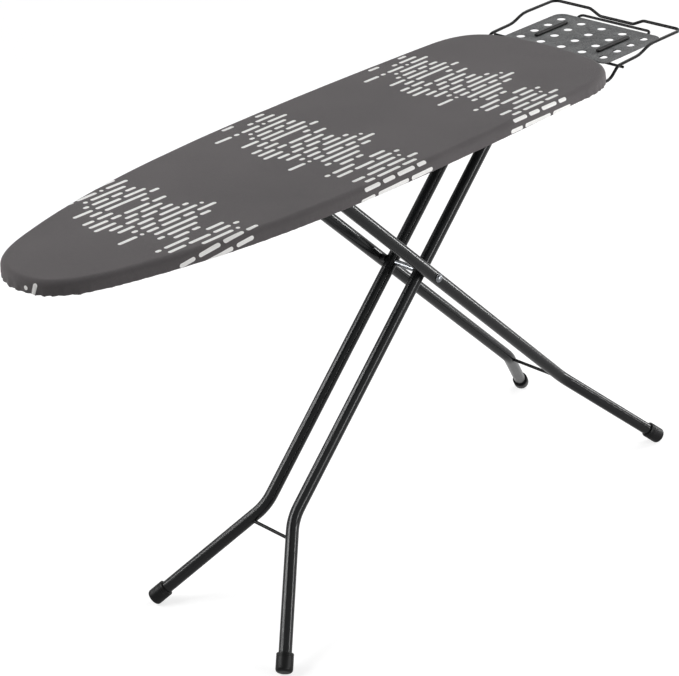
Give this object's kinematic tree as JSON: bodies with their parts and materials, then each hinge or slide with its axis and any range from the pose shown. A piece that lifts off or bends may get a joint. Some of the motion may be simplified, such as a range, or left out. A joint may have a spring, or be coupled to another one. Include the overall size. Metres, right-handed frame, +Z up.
{
  "type": "ironing board",
  "caption": "Folding ironing board with a padded cloth top, rounded nose, crossing tubular leg frames and a perforated iron rest inside a wire rim.",
  "frame": {"origin": "middle of the footprint at floor level, under the middle of the overall length", "axes": "+X towards the iron rest (the nose points to -X), +Y to the side with the height lever, +Z up"},
  "size_m": [1.4067, 0.382, 0.8156],
  "materials": {
    "cover_cloth": "woven cotton, matt",
    "felt": "needled wool felt",
    "mesh_paint": "satin grey powder coat",
    "tube_paint": "satin gunmetal powder coat",
    "wire_paint": "satin black powder coat",
    "plate_paint": "fine grey texture coat",
    "zinc": "zinc plated",
    "rubber": "matt",
    "silicone": "matt, heat resistant",
    "nylon": "moulded",
    "cord": "braided"
  },
  "bodies": {
    "board": {"cover": "cover_cloth", "felt_pad": "felt", "mesh_top": "mesh_paint", "front_brace": "mesh_paint", "middle_brace": "mesh_paint", "rear_brace": "mesh_paint", "slide_channel": "mesh_paint", "hinge_bracket_left": "mesh_paint", "hinge_bracket_right": "mesh_paint", "lever_bracket_front": "mesh_paint", "lever_bracket_rear": "mesh_paint", "hem_cord": "cord", "cord_lock": "nylon", "hinge_pin": "zinc", "lever_spring": "zinc", "hinge_cap_left": "zinc", "hinge_cap_right": "zinc", "rest_clip_left": "zinc", "rest_clip_right": "zinc", "clip_screw_left": "zinc", "clip_screw_right": "zinc", "rest_plate": "plate_paint", "rest_strip_left": "silicone", "rest_strip_right": "silicone", "rim_wire": "wire_paint", "carrier_wire": "wire_paint", "cross_rod": "wire_paint"},
    "leg_inner": {"inner_tie_wire": "wire_paint", "hinge_sleeve": "mesh_paint", "pivot_axle": "zinc", "axle_sleeve": "zinc", "inner_leg_left": "tube_paint", "inner_leg_right": "tube_paint", "inner_plug_left": "nylon", "inner_plug_right": "nylon", "inner_foot_left": "rubber", "inner_foot_right": "rubber", "pivot_washer_left": "nylon", "pivot_washer_right": "nylon", "axle_cap_left": "zinc", "axle_cap_right": "zinc"},
    "leg_outer": {"outer_tie_wire": "wire_paint", "slider_bar": "zinc", "outer_leg_left": "tube_paint", "outer_leg_right": "tube_paint", "outer_plug_left": "nylon", "outer_plug_right": "nylon", "outer_foot_left": "rubber", "outer_foot_right": "rubber", "glide_left": "nylon", "glide_right": "nylon"},
    "height_lever": {"lever_rod": "zinc", "lever_grip": "nylon", "keeper_plate": "zinc"}
  },
  "joints": [
    {"name": "leg_fold", "type": "hinge", "parent": "board", "child": "leg_inner", "pos_m": [0.36974, 0, 0.781], "axis": [0, 1, 0], "range_deg": [-4, 42]},
    {"name": "leg_cross", "type": "hinge", "parent": "leg_inner", "child": "leg_outer", "pos_m": [0.10857, 0, 0.518], "axis": [0, 1, 0], "range_deg": [-84, 8]},
    {"name": "lever_squeeze", "type": "hinge", "parent": "board", "child": "height_lever", "pos_m": [-0.24143, 0.0232, 0.768], "axis": [1, 0, 0], "range_deg": [0, 10], "stiffness_Nm_per_rad": 0.5, "springref_deg": -17.19}
  ],
  "couplings": [
    {"joint": "leg_cross", "follows": "leg_fold", "ratio": -2}
  ]
}
